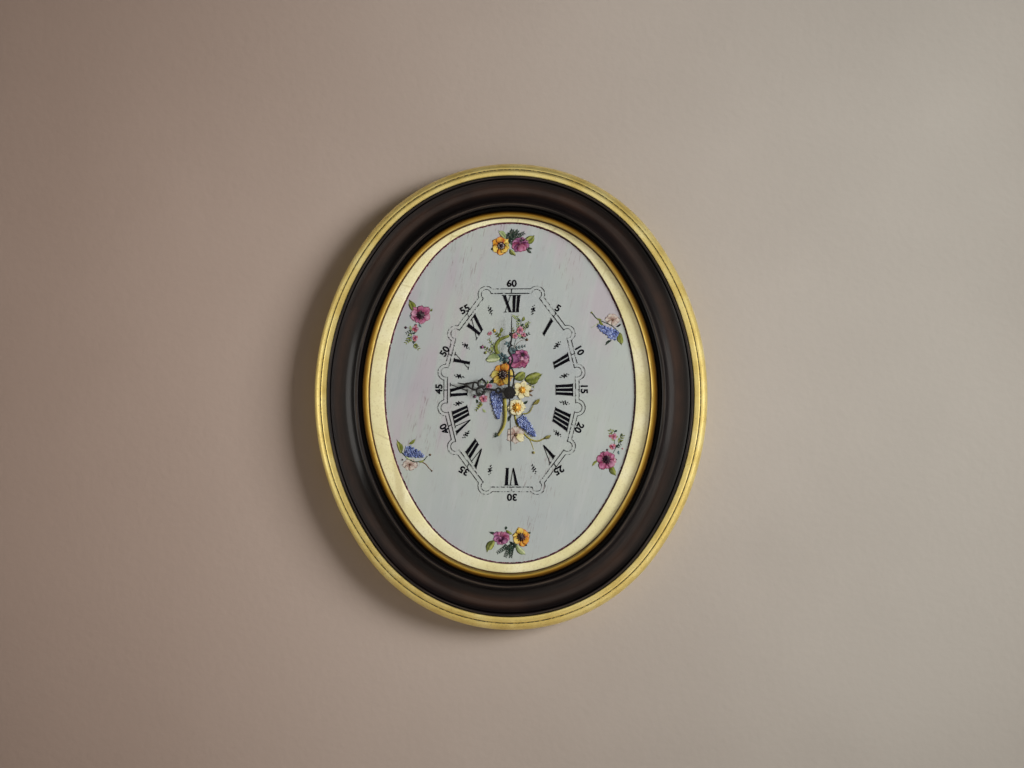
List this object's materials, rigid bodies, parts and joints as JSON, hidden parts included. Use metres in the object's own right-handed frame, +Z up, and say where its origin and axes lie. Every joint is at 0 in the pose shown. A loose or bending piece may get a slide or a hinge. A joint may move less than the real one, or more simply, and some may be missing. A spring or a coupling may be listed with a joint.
{
  "type": "oval wall clock",
  "caption": "Oval wall clock with a gilt and dark moulded frame, pale gold mat, white distressed dial with black Roman numerals, ornate hands and a battery movement behind the panel",
  "frame": {"origin": "on the wall plane, at the centre of the hanger plate's round hole, near the top of the frame's back", "axes": "+Z up and along the oval's long axis, +Y into the wall, so the dial faces -Y; +X to the right of someone who reads the clock"},
  "size_m": [0.322, 0.0288, 0.382],
  "materials": {
    "gilt_rim": "gilded wood, rubbed",
    "cove_moulding": "dark painted wood with rubbed gold beads",
    "gilt_slip": "antique gold leaf",
    "gilt_mat": "pale gold, finely speckled",
    "dial_panel": "distressed chalk white paint on board",
    "print_black": "black print",
    "hand_black": "satin black",
    "steel": "plain",
    "plate_steel": "zinc plated",
    "seal_rubber": "matte",
    "black_metal": "satin black",
    "case_plastic": "moulded",
    "cover_plastic": "moulded",
    "wheel_plastic": "natural acetal",
    "brass": "turned",
    "board_green": "solder mask",
    "chip_black": "resin",
    "copper_wire": "enamelled copper",
    "bobbin_plastic": "moulded",
    "magnet": "ground",
    "battery_label": "plain wrap",
    "knob_plastic": "moulded"
  },
  "bodies": {
    "clock_case": {"gilt_rim": "gilt_rim", "cove_moulding": "cove_moulding", "gilt_slip": "gilt_slip", "gilt_mat": "gilt_mat", "dial_panel": "dial_panel", "dial_numerals": "print_black", "minute_track": "print_black", "panel_points": "steel", "hanger_plate": "plate_steel", "hanger_screws": "brass", "seal_washer": "seal_rubber", "nut_washer": "black_metal", "hex_nut": "black_metal", "movement_case": "case_plastic", "back_cover": "cover_plastic", "train_bridge": "wheel_plastic", "bridge_screws": "steel", "battery": "battery_label", "contact_minus": "plate_steel", "contact_plus": "plate_steel", "circuit_board": "board_green", "crystal": "steel", "chip_cap": "chip_black", "stator": "steel", "coil_core": "steel", "coil_bobbin": "bobbin_plastic", "coil_winding": "copper_wire"},
    "rotor_body": {"rotor": "magnet"},
    "step_body": {"step_wheel": "wheel_plastic"},
    "seconds_body": {"second_wheel": "wheel_plastic", "second_hand": "hand_black"},
    "third_body": {"third_wheel": "wheel_plastic"},
    "centre_body": {"centre_wheel": "brass"},
    "minutes_body": {"minute_pipe": "brass", "minute_hand": "hand_black"},
    "motion_body": {"motion_wheel": "wheel_plastic"},
    "hours_body": {"hour_wheel": "wheel_plastic", "hour_hand": "hand_black"},
    "knob_body": {"setting_knob": "knob_plastic"}
  },
  "joints": [
    {"name": "second_spin", "type": "hinge", "parent": "clock_case", "child": "seconds_body", "pos_m": [0, -0.028, -0.1717], "axis": [0, 1, 0], "continuous": true},
    {"name": "step_spin", "type": "hinge", "parent": "clock_case", "child": "step_body", "pos_m": [0.00473, -0.009, -0.16352], "axis": [0, 1, 0], "continuous": true},
    {"name": "rotor_spin", "type": "hinge", "parent": "clock_case", "child": "rotor_body", "pos_m": [0.01079, -0.008, -0.15843], "axis": [0, 1, 0], "continuous": true},
    {"name": "third_spin", "type": "hinge", "parent": "clock_case", "child": "third_body", "pos_m": [-0.00952, -0.011, -0.1717], "axis": [0, 1, 0], "continuous": true},
    {"name": "centre_spin", "type": "hinge", "parent": "clock_case", "child": "centre_body", "pos_m": [0, -0.0127, -0.1717], "axis": [0, 1, 0], "continuous": true},
    {"name": "minute_spin", "type": "hinge", "parent": "clock_case", "child": "minutes_body", "pos_m": [0, -0.026, -0.1717], "axis": [0, 1, 0], "continuous": true},
    {"name": "motion_spin", "type": "hinge", "parent": "clock_case", "child": "motion_body", "pos_m": [0.0096, -0.014, -0.1717], "axis": [0, 1, 0], "continuous": true},
    {"name": "hour_spin", "type": "hinge", "parent": "clock_case", "child": "hours_body", "pos_m": [0, -0.025, -0.1717], "axis": [0, 1, 0], "continuous": true},
    {"name": "knob_spin", "type": "hinge", "parent": "clock_case", "child": "knob_body", "pos_m": [0.01791, -0.002, -0.1669], "axis": [0, 1, 0], "continuous": true}
  ],
  "couplings": [
    {"joint": "step_spin", "follows": "second_spin", "ratio": -6},
    {"joint": "rotor_spin", "follows": "second_spin", "ratio": 30},
    {"joint": "third_spin", "follows": "second_spin", "ratio": -0.13333},
    {"joint": "centre_spin", "follows": "second_spin", "ratio": 0.016667},
    {"joint": "motion_spin", "follows": "minute_spin", "ratio": -0.33333},
    {"joint": "hour_spin", "follows": "minute_spin", "ratio": 0.083333},
    {"joint": "knob_spin", "follows": "minute_spin", "ratio": 1}
  ]
}
